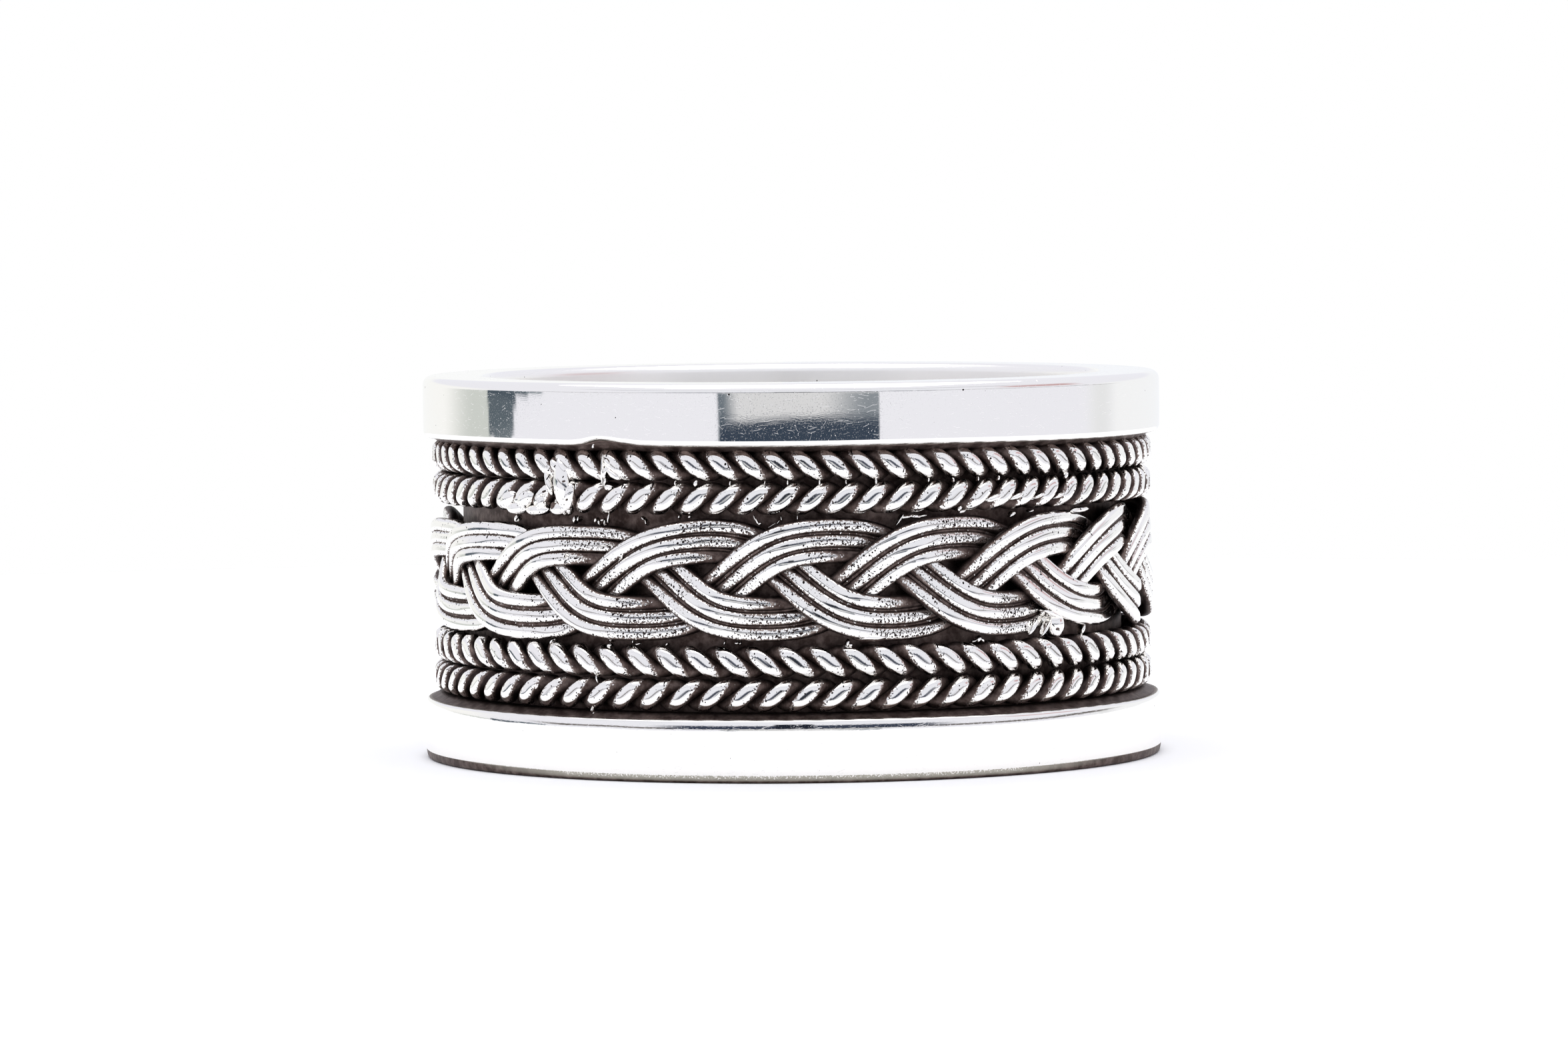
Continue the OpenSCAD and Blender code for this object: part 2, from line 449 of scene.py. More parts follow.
# Directions of the scratches in degrees, and how high the noise must peak to leave one
SCRATCHES = ((-9, 0.88), (5, 0.86), (17, 0.89), (-48, 0.91), (66, 0.92))
# How far the bright metal stands above its pits, and how high the sulphide's grain is, in millimetres
STEP_H = 0.006
GRAIN_H = 0.008


def dulled(tree, sheet, from_axis, bright, rough, spot_rough):
    """Roughness: satin in the finger hole, gloss with dull spots outside, and matt where it is black."""
    inside = add(
        tree, "MapRange", Value=from_axis,
        From_Min=BORE_R + 0.02, From_Max=BORE_R + 0.2, To_Min=SATIN, To_Max=rough,
    )
    spots = add(tree, "TexNoise", {"noise_dimensions": "2D"}, Vector=sheet, Scale=1 / SPOT, Detail=3.0)
    spotted = add(tree, "MapRange", Value=spots, From_Min=0.53, From_Max=0.72, To_Max=spot_rough)
    glossy = add(tree, "Math", {"operation": "MAXIMUM"}, _0=inside, _1=spotted)
    return add(tree, "MapRange", Value=bright, To_Min=MATT, To_Max=glossy)


def scratched(tree, sheet):
    """How deep the nicks, the brushed grain and the scratches are."""
    bend = add(tree, "TexNoise", {"noise_dimensions": "2D"}, Vector=sheet, Scale=BENDS_PER_MM)
    bent = add(tree, "VectorMath", {"operation": "MULTIPLY_ADD"}, _0=bend, _1=(BEND, BEND, 0), _2=sheet)
    nicks = add(tree, "TexVoronoi", {"voronoi_dimensions": "2D"}, Vector=sheet, Scale=1 / NICK_GAP)
    luck = add(tree, "SeparateXYZ", Vector=nicks.outputs["Color"])
    nick_r = add(tree, "MapRange", Value=luck, From_Min=0.8, To_Min=0.001, To_Max=0.14)
    deep = add(tree, "MapRange", Value=nicks, From_Max=nick_r, To_Min=3.0, To_Max=0.0)
    brushed = add(
        tree, "Mapping", {"vector_type": "TEXTURE"}, Vector=bent, Scale=(BRUSHED_L, BRUSHED_W, 1),
    )
    hair = add(tree, "TexNoise", {"noise_dimensions": "2D"}, Vector=brushed, Scale=1.0, Detail=2.0)
    marks = add(tree, "Math", {"operation": "MULTIPLY_ADD"}, _0=hair, _1=BRUSHED_SHARE, _2=deep)
    for angle, peak in SCRATCHES:
        turned = add(
            tree, "Mapping", {"vector_type": "TEXTURE"}, Vector=bent, Location=(angle, 0, 0),
            Rotation=(0, 0, math.radians(angle)), Scale=(SCRATCH_L, SCRATCH_W, 1),
        )
        drawn = add(tree, "TexNoise", {"noise_dimensions": "2D"}, Vector=turned, Scale=1.0, Detail=0.0)
        scratch = add(tree, "MapRange", Value=drawn, From_Min=peak, From_Max=peak + 0.05)
        marks = add(tree, "Math", {"operation": "MAXIMUM"}, _0=marks, _1=scratch)
    return marks


# %% [markdown]
# ## The two finishes
#
# The rims were taken to a mirror, and the wires only met the wheel on their crests. Both are the same metal,
# so one recipe makes both. Bright and black are each a metal with the default IOR: only their colour and
# roughness differ. What changes between the finishes is how ragged the border is, how close the pits lie,
# and how deep the scratches are.

# %% The two finishes
def silver(name, thin_film, shake, speck, pit_gap, rough, spot_rough, scratch_depth):
    """Sterling silver, blackened and buffed: bright where the wear is above a half, black below it."""
    material = bpy.data.materials.new(name)
    tree = empty_tree(material)
    metres = add(tree, "TexCoord").outputs["Object"]
    place = add(tree, "VectorMath", {"operation": "SCALE"}, _0=metres, Scale=1 / MM)
    wear = add(tree, "Attribute", {"attribute_name": "wear"}).outputs["Fac"]
    grain = add(tree, "TexNoise", Vector=place, Scale=1 / GRAIN, Detail=4.0, Roughness=0.65)
    from_axis, sheet = unroll(tree, place)
    bright = bright_metal(tree, place, sheet, wear, shake, speck, pit_gap)
    film = film_colour(tree, grain, wear, thin_film)
    colour = add(tree, "MixRGB", Fac=bright, Color1=film, Color2=linear(SILVER))
    roughness = dulled(tree, sheet, from_axis, bright, rough, spot_rough)
    step = add(tree, "Bump", Strength=0.6, Distance=STEP_H * MM, Height=bright)
    pebbled = add(tree, "MapRange", Value=bright, To_Min=GRAIN_H * MM, To_Max=0.0)
    grained = add(tree, "Bump", Strength=1.0, Distance=pebbled, Height=grain, Normal=step)
    scored = add(
        tree, "Bump", {"invert": True},
        Strength=1.0, Distance=scratch_depth * MM, Height=scratched(tree, sheet), Normal=grained,
    )
    metal = add(
        tree, "BsdfPrincipled", Base_Color=colour, Metallic=1.0, Roughness=roughness, Normal=scored,
    )
    add(tree, "OutputMaterial", Surface=metal)
    return material


# On the band's lower bevel the polished silver's thin film gives the warm grey of the painted shade there
POLISHED = silver(
    "polished_sterling_silver", thin_film="#c8c5b8", shake=0.35, speck=0.048, pit_gap=0.9, rough=0.03,
    spot_rough=0.14, scratch_depth=0.0007,
)
BUFFED = silver(
    "buffed_blackened_sterling", thin_film="#b0a39b", shake=1.8, speck=0.06, pit_gap=0.17, rough=0.07,
    spot_rough=0.07, scratch_depth=0.0,
)
for finish in (POLISHED, BUFFED):
    print(f"{finish.name}: {len(finish.node_tree.nodes)} nodes")

# %% [markdown]
# ## The band's outline
#
# The sleeve and its two rims are one piece of metal, so they are one lathe profile: a closed outline in
# radius and height. The rims' faces aren't flat: filing and buffing leave them slightly crowned, and the
# lower part of the upper rim tips down just enough to show the dark gap in front of it. Their corners are
# eased: they turn slowly first and fast later. A Bevel modifier could round them, but the crown of a face
# has turned a little already where its corner starts, and a mirror finish shows any break between the two.
# So the corners are worked out here, and each carries on from its face.

# %% The band's outline
# How far a rim's face has turned at its two edges, in degrees
FACE_TURN = 0.68
# The edges of the two faces, from the lowest up. Columns: the radius on which it first turns, the angle
# that it turns so, and the radius on which it turns the rest.
FOOT = (0.9, 14, 0.12)
LOW_LIP = (2.6, 7, 0.1)
HIGH_LIP = (LIP_R, 10, LIP_R)
HEAD = (EDGE_R, 10, EDGE_R)


def arc_points(centre_r, centre_z, radius, start, end, steps=6):
    """Points along a round corner of the profile, between two angles in degrees."""
    turn = np.radians(np.linspace(start, end, steps))
    return [(centre_r + radius * math.cos(a), centre_z + radius * math.sin(a)) for a in turn]


def eased_corner(slow_r, slow_turn, radius):
    """A corner that carries on from a face: how far each point lies in from the face's end, and beyond it."""
    slow = arc_points(0, 0, slow_r, FACE_TURN, slow_turn, steps=7)
    turn = math.radians(slow_turn)
    centre = (slow[-1][0] - radius * math.cos(turn), slow[-1][1] - radius * math.sin(turn))
    corner = slow + arc_points(*centre, radius, slow_turn, 90, steps=8)[1:]
    return [(corner[0][0] - r, z - corner[0][1]) for r, z in corner]


def rim_profile(low, high, lower, upper):
    """The outside of one rim, from its lower edge to its upper edge: a crowned face between two corners."""
    lower, upper = eased_corner(*lower), eased_corner(*upper)
    start, end = low + lower[-1][1], high - upper[-1][1]
    crown_r = (end - start) / 2 / math.sin(math.radians(FACE_TURN))
    face = arc_points(OUTER_R - crown_r, (start + end) / 2, crown_r, -FACE_TURN, FACE_TURN, steps=17)
    edge = face[-1][0]
    return (
        [(edge - inset, start - beyond) for inset, beyond in lower[::-1]]
        + face[1:-1] + [(edge - inset, end + beyond) for inset, beyond in upper]
    )


def channel_profile():
    """The channel's floor and walls, from the lower rim up to the upper one."""
    low, high = RIM_H, HEIGHT - RIM_H
    wall = [(r, low) for r in np.linspace(OUTER_R - LIP_R - 0.2, FLOOR_R + CORNER_R + 0.1, 3)]
    foot = arc_points(FLOOR_R + CORNER_R, low + CORNER_R, CORNER_R, 270, 180, steps=4)
    floor = [(FLOOR_R, z) for z in np.linspace(low + 0.3, high - 0.3, 12)]
    head = arc_points(FLOOR_R + CORNER_R, high - CORNER_R, CORNER_R, 180, 90, steps=4)
    return wall + foot + floor + head + [(r, high) for r, z in wall[::-1]]


def band_outline():
    """The whole outline: lower rim, channel, upper rim, and back down the finger hole."""
    bore = [(BORE_R, z) for z in np.linspace(HEIGHT - EDGE_R, EDGE_R, 13)]
    upper_in = arc_points(BORE_R + EDGE_R, HEIGHT - EDGE_R, EDGE_R, 90, 180)[:-1]
    lower_in = arc_points(BORE_R + EDGE_R, EDGE_R, EDGE_R, 180, 270)[1:]
    return np.array(
        rim_profile(0, RIM_H, FOOT, LOW_LIP) + channel_profile()
        + rim_profile(HEIGHT - RIM_H, HEIGHT, HIGH_LIP, HEAD)
        + upper_in + bore + lower_in
    )


OUTLINE = band_outline()
print(f"the band's outline: {len(OUTLINE)} points")

# %% [markdown]
# ## The band
#
# A Screw modifier would turn the outline round the finger hole, but it would make every step the same. Here
# each step is changed a little. The file left waves on the faces, the channel's edges waver, and at the
# seam the upper one was filed away. The wear goes with the outline too: all of it is bright but the channel,
# which no wheel reaches, and the bevel that the ring stands on, where the wear paints shade: black where it
# meets the table for the contact shadow, and warm grey above that for the shaded table that it reflects.

# %% The band
# Steps round the band: with its fillets it comes to about 190,000 triangles. As many steps as keep the band
# under 200,000 triangles
BAND_STEPS = 640
BAND_TURN = np.arange(BAND_STEPS)[:, None] * 360 / BAND_STEPS - 180
# How far the upper rim's lower edge was filed up at the seam, and how many degrees that reaches to each side
SEAM_RISE = 0.17
SEAM_REACH = (2.6, 5.0)
# How far the channel's edges waver, and how far up and down the metal beside them follows
EDGE_WAVER = 0.012
EDGE_REACH = 0.35
# How deep the file's waves are, and how many radians of a wave lie in a millimetre across a face
FILE_WAVE = 0.0012
FILE_TURN = 2.2
# How deep the wheel reaches into the channel, and how much old black is left along the upper bevel
WHEEL_REACH = 0.16
OLD_BLACK = 0.42
# Painted shade on the lower bevel, as its wear at some heights: a black contact shadow where it meets the
# table, then a warm grey for the shaded table that it reflects
BEVEL_AT = (0, 0.02, 0.05, 0.1, 0.17, 0.24, 0.28)
BEVEL_PAINTED_SHADE = (0, 0.05, 0.2, 0.38, 0.46, 0.48, 1)
# The painted shade is blacker round the sides: how much of that wear is left, at some angles from the front
SIDES_SHADE_AT = (35, 65)
SIDES_PAINTED_SHADE = (1, 0.25)


def bell(values, middle, reach):
    """A bell curve: 1 at the middle, and less and less away from it."""
    return np.exp(-((values - middle) / reach) ** 2)


def seam_rise(angle):
    """How far the upper rim's lower edge was filed up round the seam, in millimetres."""
    return SEAM_RISE * bell(angle, SEAM, np.where(angle < SEAM, *SEAM_REACH))


def band_points():
    """The outline at each step of the turn, with the small faults of handwork."""
    radius, height = OUTLINE[None, :, 0], OUTLINE[None, :, 1]
    beyond_floor = radius > FLOOR_R + 0.3
    upper_edge = bell(height, HEIGHT - RIM_H, EDGE_REACH) * beyond_floor
    lower_edge = bell(height, RIM_H, EDGE_REACH) * beyond_floor
    moved = upper_edge * (seam_rise(BAND_TURN) + EDGE_WAVER * wander(BAND_TURN, seed=3))
    moved = moved + lower_edge * EDGE_WAVER * wander(BAND_TURN, seed=4)
    height = height + moved
    # The file left the faces faintly wavy, which only their reflections show
    on_face = bell(radius, OUTER_R, 0.03)
    filed = wander(3 * BAND_TURN, seed=5) * np.cos(FILE_TURN * height)
    filed = filed + wander(3 * BAND_TURN, seed=6) * np.sin(FILE_TURN * height)
    return polar(radius - FILE_WAVE * on_face * (filed + 2), BAND_TURN, height)


def band_wear():
    """Bright everywhere but in the channel, and on the lower bevel, where painted shade darkens it."""
    radius, height = OUTLINE[:, 0], OUTLINE[:, 1]
    depth = OUTER_R - radius
    in_channel = (height > RIM_H - LIP_R / 2) & (height < HEIGHT - RIM_H + LIP_R / 2)
    in_channel &= depth < OUTER_R - FLOOR_R + 0.05
    wear = np.where(in_channel, np.clip(1.1 - depth / WHEEL_REACH, 0, 1), 1)
    # A broken line of old black stays where the upper rim's face meets its bevel
    from_edge = np.hypot(radius - OUTER_R, height - HEIGHT + EDGE_R)
    wear = wear - OLD_BLACK * bell(from_edge, 0, 0.03)
    # The lower bevel's wear paints shade: a black contact shadow, then a warm grey for the shaded table
    bevel = (height < EDGE_R) & (radius > OUTER_R - EDGE_R - 0.01)
    sides_shade = np.interp(np.abs(BAND_TURN), SIDES_SHADE_AT, SIDES_PAINTED_SHADE)
    return np.where(bevel, np.interp(height, BEVEL_AT, BEVEL_PAINTED_SHADE) * sides_shade, wear)


# %% [markdown]
# ## Solder in the corners
#
# Solder ran along the joint between each rim and the rope beside it and drew itself into the corner. Bump
# could shade it, but at the seam, where the rim's edge was filed up, it stands out below the rim for all to
# see. So each is a thin strip of mesh with a hollow face.

# %% Solder in the corners
# The face of a fillet starts in the rim and ends at the rope: how far inside the ring's outer radius each
# of these is, and how far from the rim's edge. Then how hollow the face is (1 is flat), and how far it
# wavers.
FILLET_START = (0.17, 0.02)
FILLET_END = (0.5, 0.16)
FILLET_HOLLOW = 0.8
FILLET_WAVER = 0.02


def fillet_skin(rim_z, up):
    """A strip along the rim's edge at a height. Up is 1 below the upper rim, and -1 above the lower one."""
    start_r, end_r = OUTER_R - FILLET_START[0], OUTER_R - FILLET_END[0]
    start_z, end_z = rim_z + up * FILLET_START[1], rim_z - up * FILLET_END[1]
    back_r = FLOOR_R + 0.1
    run = np.array([0, 0.25, 0.5, 0.75, 1])
    radius = start_r + (end_r - start_r) * run ** FILLET_HOLLOW
    height = start_z + (end_z - start_z) * run
    outline = np.concatenate([
        np.stack([radius, height], -1), [[back_r, end_z], [back_r, start_z + up * 0.05]],
    ])
    # The face wavers, and rises with the rim at the seam
    shake = FILLET_WAVER * wander(3 * BAND_TURN, seed=8) * np.array([0, 0.5, 1, 1, 1, 0, 0])
    lifted = (up > 0) * seam_rise(BAND_TURN) * np.array([1, 0.9, 0.75, 0.5, 0.3, 0, 1])
    # Its edge on the upper rim was just touched by the wheel. Below the lower rim the fillet is set under
    # plain
    # sulphide, to packed black: painted shade under the lower ropes
    wear = np.array([0.34, 0, 0, 0, 0, 0, 0]) if up > 0 else np.full(len(outline), -0.1)
    return Skin(polar(outline[None, :, 0] + shake, BAND_TURN, outline[None, :, 1] + lifted), wear[None])


band_skins = [Skin(band_points(), band_wear()), fillet_skin(HEIGHT - RIM_H, 1), fillet_skin(RIM_H, -1)]
band = make_piece("ring_band", band_skins, POLISHED)
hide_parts("band")

# %% [markdown]
# ## The twisted ropes
#
# A rope is two wires twisted round each other. Each wire is a helix whose axis is bent into a circle, and
# from outside every half turn shows as one slanted leaf. The two ropes of a pair are twisted opposite
# ways, so their leaves make a row of chevrons. A bevelled curve would give the twist, but not the crests,
# which the buffing wheel has flattened. So each wire is swept as a grid, and its crests are worn down one
# by one.

# %% The twisted ropes
STEPS_PER_LEAF = 20
# Radius of a wire, of the helix that its middle follows, and of the whole rope
WIRE_R = 0.26
WIND_R = 0.245
ROPE_R = 0.48
# Nothing stands further above or below the rope's middle than this
ROPE_HALF = 0.478
# How far a rope strays up and down
ROPE_DRIFT = 0.018
# How soft the edge is where a crest was worn down, and how round the flat is across the wire
WORN_BY = 0.03
FLAT_R = 1.55
# Angles round the wire of a section's points: close together outside, sparse inside
SECTION = np.radians(np.concatenate([np.linspace(-78, 78, 13), np.linspace(78, 282, 9)[1:-1]]))
CIRCLE = np.stack([np.sin(SECTION), np.cos(SECTION)], -1)
# How far round the wire from its outermost line each of these points is, in degrees
ROUND_WIRE = np.abs(np.degrees(np.arctan2(CIRCLE[:, 0], CIRCLE[:, 1])))[None]


def wrapped(angle):
    """The same angle in degrees, but from -180 to 180."""
    return (angle + 180) % 360 - 180


def worn_off(over, edge):
    """How much is worn off metal that stood too high by this much. The edge of the flat is soft."""
    over = np.maximum(over, 0)
    return over - edge * np.tanh(over / edge)


class Rope:
    """What sets one rope apart: turns seen round it, its first turn, its lay, how wide its wires are buffed,
    how far from the rope's middle their crests are worn down to, and how far up those flats look."""

    def __init__(self, node, turns, start, lay, buffed, worn_to, looks_up, seed):
        self.node, self.turns, self.start, self.lay = node, turns, start, lay
        self.buffed, self.worn_to, self.looks_up, self.seed = buffed, worn_to, looks_up, seed
        low, high = box_mm(node)
        self.height = (low[2] + high[2]) / 2
        self.middle_r = high[0] - ROPE_R


ROPES = [
    Rope("upper_outer_rope", turns=81, start=-2.1, lay=-1, buffed=58, worn_to=0.41, looks_up=2.4, seed=11),
    Rope("upper_inner_rope", turns=79, start=-1.4, lay=1, buffed=62, worn_to=0.40, looks_up=2.5, seed=12),
    Rope("lower_inner_rope", turns=73, start=0.4, lay=-1, buffed=68, worn_to=0.38, looks_up=3.2, seed=13),
    Rope("lower_outer_rope", turns=75, start=1.9, lay=1, buffed=58, worn_to=0.40, looks_up=3.3, seed=14),
]


def worn_down(points, crest, rope):
    """Flattens each turn round its crest, and presses the rope to its own height."""
    radius = np.hypot(points[..., 0], points[..., 1])
    turned = np.degrees(np.arctan2(points[..., 0], -points[..., 1])) - crest[:, None]
    run = np.radians(wrapped(turned)) * radius
    rise = points[..., 2] - rope.height
    # Across the wire is square to its lean at the crest
    lean = math.atan(rope.lay * WIND_R * rope.turns / 2 / (rope.middle_r + WIND_R))
    across = rise * math.cos(lean) - run * math.sin(lean)
    tipped = math.tan(math.radians(rope.looks_up)) * rise
    flat = rope.middle_r + rope.worn_to - tipped - across ** 2 / 2 / FLAT_R
    points = points.copy()
    points[..., :2] *= (1 - worn_off(radius - flat, WORN_BY) / radius)[..., None]
    points[..., 2] = np.clip(points[..., 2], rope.height - ROPE_HALF, rope.height + ROPE_HALF)
    return points


# %% [markdown]
# ## Twisting the wires
#
# A rope with an even number of leaves has two wires. With an odd number, as here, each wire ends where the
# other one starts, so they are one wire that goes round the ring twice. Two grids would leave a cut where
# they meet, so it is one grid. Each leaf is brightest in its middle: its wear falls off round the wire, and
# along it until the wire dives below its neighbour. On the sides of the ring the wheel leaned less and buffed
# the leaves narrower, and the black between the turns there is painted shade for the deep gaps.

# %% Twisting the wires
# Where that is, in degrees from the front, how much narrower the leaves are buffed there, and how black the
# painted shade is between them
LEFT_AT = (30, 55, 180)
LEFT = (0, 1, 0.7)
LEFT_NARROWS = 0.15
SIDE_GAP_PAINTED_SHADE = -0.3
# How many degrees of the twist a leaf stays bright to each side of its crest, how fast its wear falls off,
# and how much its width wanders
LEAF_HALF = 80
LEAF_FALL = 0.6
LEAF_WANDERS = 0.06


def leaf_wear(wind, angle, rope):
    """How bright each point of a wire is, from where it is in its leaf."""
    left = np.interp(np.abs(wrapped(angle)), LEFT_AT, LEFT)
    uneven = 1 + LEAF_WANDERS * wander(angle, rope.seed + 60)
    edge = (rope.buffed * (1 - LEFT_NARROWS * left) * uneven)[:, None]
    along = np.abs(wrapped(wind))[:, None]
    away = (ROUND_WIRE / edge) ** 2 + (along / LEAF_HALF) ** 3
    # Between the turns on the sides the wear sinks to the painted shade's black
    return np.clip(0.5 + LEAF_FALL * (1 - away), SIDE_GAP_PAINTED_SHADE * left[:, None], 1)


def rope_skins(rope):
    """The skins of a rope's two wires, or of the one that goes round twice."""
    rounds = 1 + rope.turns % 2
    steps = rope.turns * STEPS_PER_LEAF * rounds
    angle = rope.start + np.arange(steps) * 360 * rounds / steps
    drift = ROPE_DRIFT * wander(angle, rope.seed + 30)
    skins = []
    for wire in range(3 - rounds):
        wind = (angle - rope.start) * rope.turns / 2 + 180 * wire
        c, s = np.cos(np.radians(wind)), np.sin(np.radians(wind))
        path = polar(rope.middle_r + WIND_R * c, angle, rope.height + drift + rope.lay * WIND_R * s)
        out = polar(c, angle, rope.lay * s)
        crest = rope.start + (np.round(wind / 360) * 360 - 180 * wire) * 2 / rope.turns
        points = worn_down(tube(path, out, CIRCLE * WIRE_R), crest, rope)
        skins.append(Skin(points, leaf_wear(wind, angle, rope)))
    return skins


for rope in ROPES:
    piece = make_piece(rope.node + "_wires", rope_skins(rope), BUFFED)
    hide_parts(rope.node)

# %% [markdown]
# ## The waves of the plait
#
# The plait has three strands, and each strand is three wires side by side. Seen flat, a strand is a wave,
# and the three waves are a third of a wave apart. Seen from the edge, a strand rises over the next one and
# dips under the one after, twice in each wave. The same two formulas drew the solids, and only the lift is
# softer here, as wire bends. Hands pulled the real plait round the ring, so short tables shift it along and
# spread it. A lattice could do that to an even plait, but not as exactly.

# %% The waves of the plait
PLAIT_STEPS = 480
WAVES = 6
STRANDS = 3
PHASES = np.arange(PLAIT_STEPS) * 360 * WAVES / PLAIT_STEPS
# Where the first strand climbs through the middle of the plait, in degrees from the front
PLAIT_START = -9.6
# Radius and height of the plait's middle
PLAIT_R = 10.851
WAVE_LOW, WAVE_HIGH = box_mm("plait_strand_1")
PLAIT_Z = (WAVE_LOW[2] + WAVE_HIGH[2]) / 2
# Height of a wave's crest. A part of the wave's third harmonic makes it broad.
SWING = 1.23
CREST_SHARE = 0.08
AMPLITUDE = SWING / (1 - CREST_SHARE)
# Rise and fall of a strand, with a part of the third harmonic too
LIFT = 0.25
LIFT_SHARE = -0.04
# The wires of a strand rise one after the other: degrees of the wave for each millimetre across
WIRE_LAG = 8.6
WIRE_PITCH = 0.486
# How far the plait is pulled along, in degrees, and how far it spreads above and below its middle, at some
# angles from the front
SHIFT_AT = (-130, -65, -57, -49, -40, -31, -20, 5, 24, 40, 48, 60, 110)
SHIFT = (0, -4.4, -3.7, -2.5, -1.7, -0.9, 0, 0.4, 0.9, 1.5, 1.9, 2.1, 0)
SPREAD_AT = (-120, -75, -46, -34, -26, -14, 5, 24, 40, 51, 75)
SPREAD_UP = (1.0, 0.74, 0.83, 0.81, 0.84, 0.95, 0.95, 0.95, 0.95, 0.95, 1.0)
SPREAD_DOWN = (1.0, 0.96, 1.0, 0.97, 0.94, 0.93, 0.95, 0.96, 0.94, 0.87, 1.0)


def wave(t):
    """Height of a strand over the plait's middle, at a phase in degrees."""
    return AMPLITUDE * (np.sin(np.radians(t)) + CREST_SHARE * np.sin(np.radians(3 * t)))


def slope(t):
    """How steeply a strand climbs, in millimetres for each millimetre round the ring."""
    turn = np.cos(np.radians(t)) + 3 * CREST_SHARE * np.cos(np.radians(3 * t))
    return AMPLITUDE * turn * WAVES / PLAIT_R


def lift(t, across):
    """How far a wire stands proud of the plait's middle."""
    s = np.radians(t + WIRE_LAG * across * np.cos(np.radians(t)))
    return LIFT * (np.sin(2 * s) + LIFT_SHARE * np.sin(6 * s))


def strand_point(number, t, across, above):
    """A point of a strand, and its angle, from its phase, its place across the strand, and how far it is
    above the strand's middle."""
    length = np.sqrt(1 + slope(t) ** 2)
    arc = -across * slope(t) / length
    turn = PLAIT_START + (number - 1) * 360 / WAVES / STRANDS + t / WAVES + np.degrees(arc / PLAIT_R)
    rise = wave(t) + across / length
    even = wrapped(turn)
    turn = turn + np.interp(even, SHIFT_AT, SHIFT)
    above_middle, below_middle = (np.interp(even, SPREAD_AT, s) for s in (SPREAD_UP, SPREAD_DOWN))
    spread = np.where(rise > 0, above_middle, below_middle)
    return polar(PLAIT_R + lift(t, across) + above, turn, PLAIT_Z + spread * rise), turn


print(f"plait: {WAVES} waves of {STRANDS} strands round a radius of {PLAIT_R:.1f} mm")

# %% [markdown]
# ## Wear on the plait
#
# A strand is brightest on its slopes. It is peppered where it comes out from under its neighbour and where
# it turns at the plait's edge, and black where it dives again. The grooves between its wires stay brown.
# The wheel went by over the top, so what it reached is a matter of where each point is in its wave, and
# that is known here for every point. Painting it by hand would take hours for each strand.

# %% Wear on the plait
# All phases here are degrees of a half wave, which is counted from this one on
FIRST_PHASE = -43
# How far the wheel got into a strand that comes out from under another
SHOWN_AT = (-20, 0, 14, 60)
SHOWN = (-0.25, 0.6, 1, 1)
# Where it left black in the pits, and the share of the wear that this takes at most
PEPPER_AT = (-8, 0, 16, 34, 54, 76)
PEPPER = (0.75, 0.75, 0.6, 0, 0, 1)
PEPPER_TAKES = 0.4
# Where the wires on the outside, in the middle and on the inside of a bend dive under, and how many degrees
# that takes
DIVES = (140, 132, 100)
DIVE_TAKES = 20
# On the sides of the ring the wheel reached further: where that is, in degrees from the front, how much
# later a wire dives there, and how much less pepper is left
REACHED_AT = (36, 48, 75, 100)
REACHED = (0, 1, 1, 0)
DIVES_LATER = 18
LESS_PEPPER = 0.7
# How far round a wire the wheel got, in degrees, and how much further on the sides, and on open flanks there
BRIGHT_HALF = 46
SIDE_MORE = 8
FLANK_MORE = 22
# How fast the wear falls off round a wire, how late that starts, and the least that is left
WIRE_FALL = 1.2
WIRE_POWER = 1.6
LEAST_WEAR = -0.25


def plait_wear(t, turn, place):
    """How bright each point of a wire is, from its phase, its angle, and its wire's place in the strand."""
    half = np.floor((t - FIRST_PHASE) / 180)
    phase = (t - FIRST_PHASE) % 180 + FIRST_PHASE
    outside = np.where(half % 2 == 0, place, -place)
    reached = np.interp(np.abs(wrapped(turn)), REACHED_AT, REACHED)
    dive = np.array(DIVES)[1 - outside.astype(int)] + DIVES_LATER * reached
    shown = np.interp(phase, SHOWN_AT, SHOWN)
    shown = np.minimum(shown, np.clip((dive - phase) / DIVE_TAKES, -0.4, 1))
    pepper = np.interp(phase, PEPPER_AT, PEPPER) * (1 - LESS_PEPPER * reached)
    more = SIDE_MORE + FLANK_MORE * (CIRCLE[:, 0] * place > 0.1)
    edge = BRIGHT_HALF + reached[:, None] * more
    bright = shown[:, None] - (ROUND_WIRE / edge) ** WIRE_POWER
    wear = np.clip(0.5 + WIRE_FALL * bright, LEAST_WEAR, 1)
    return wear * (1 - PEPPER_TAKES * pepper[:, None])


# %% [markdown]
# ## The plait's wires
#
# Each wire is swept along its strand like a rope's wire, and its top was buffed to a flat. Perfect flats
# would all flash at once, so each looks up a little, and by an amount that wanders along the wire. Solder
# and old polish fill the grooves between the wires part of the way up, as one thin web under each strand.

# %% The plait's wires
PLAIT_WIRE_R = 0.222
# The flat: how far out it lies as a share of the wire's radius, how round it is across the wire, how soft
# its edge is, how many degrees it looks up, and by how much that wanders
FLAT_AT = 0.775
PLAIT_FLAT_R = 1.6
PLAIT_WORN_BY = 0.016
FLAT_LOOKS_UP = 1.8
FLAT_WANDERS = 1.5
# Top and foot of the web over the strand's middle, and its wear
WEB_TOP = 0.08
WEB_FOOT = -0.1
WEB_WEAR = 0.14


